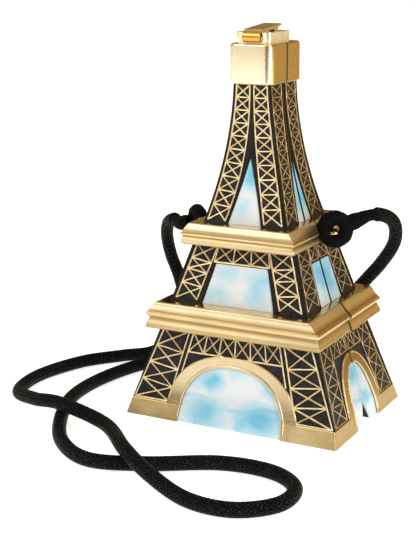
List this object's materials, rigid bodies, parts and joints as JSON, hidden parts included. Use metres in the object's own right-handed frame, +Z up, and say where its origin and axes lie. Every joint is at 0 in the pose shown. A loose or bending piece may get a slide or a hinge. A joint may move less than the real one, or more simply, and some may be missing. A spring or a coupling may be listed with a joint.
{
  "type": "novelty evening bag",
  "caption": "Hard-shell clutch bag shaped like an iron lattice tower; it parts down the middle on a hinge under its base, with a press-lever clasp on top and a braided cord strap.",
  "frame": {"origin": "centre of the base on the ground, on the parting plane of the two halves", "axes": "+Z up, +X to the right across the width, -Y towards the front half"},
  "size_m": [0.2032, 0.2032, 0.2013],
  "materials": {
    "black_enamel": "charcoal enamel on a thin cast shell",
    "brushed_gilt": "satin brushed pale gold plate",
    "polished_gilt": "polished pale gold plate",
    "sky_enamel": "glossy light blue and pearl enamel",
    "lining_cloth": "black satin cloth",
    "spring_steel": "bright wire",
    "black_cord": "braided black cord"
  },
  "bodies": {
    "rear_half": {"rear_shell": "black_enamel", "rear_arch_feet": "brushed_gilt", "rear_sky_panels": "sky_enamel", "rear_lower_ledge": "brushed_gilt", "rear_upper_ledge": "brushed_gilt", "rear_collar": "brushed_gilt", "rear_lining": "lining_cloth", "rear_hinge_leaf": "polished_gilt", "hinge_pin": "polished_gilt", "rear_hinge_screws": "polished_gilt", "clasp_lever_block": "polished_gilt", "clasp_lever_pin": "polished_gilt", "clasp_lever_spring": "spring_steel", "left_strap_ring": "polished_gilt", "right_strap_ring": "polished_gilt", "left_cord_eye": "black_cord", "right_cord_eye": "black_cord", "left_whipping": "black_cord", "right_whipping": "black_cord", "strap_cord": "black_cord"},
    "front_half": {"front_shell": "black_enamel", "front_arch_feet": "brushed_gilt", "front_sky_panels": "sky_enamel", "front_lower_ledge": "brushed_gilt", "front_upper_ledge": "brushed_gilt", "front_collar": "brushed_gilt", "front_lining": "lining_cloth", "front_hinge_leaf": "polished_gilt", "front_hinge_screws": "polished_gilt", "clasp_catch_block": "polished_gilt"},
    "clasp_lever": {"clasp_lever": "polished_gilt"}
  },
  "joints": [
    {"name": "shell_hinge", "type": "hinge", "parent": "rear_half", "child": "front_half", "pos_m": [0, 0, 0.0125], "axis": [1, 0, 0], "range_deg": [0, 50]},
    {"name": "clasp_lever_pivot", "type": "hinge", "parent": "rear_half", "child": "clasp_lever", "pos_m": [0, 0.0025, 0.1963], "axis": [-1, 0, 0], "range_deg": [0, 12], "stiffness_Nm_per_rad": 0.02, "springref_deg": -2.86, "deforming": ["clasp_lever_spring"]}
  ]
}
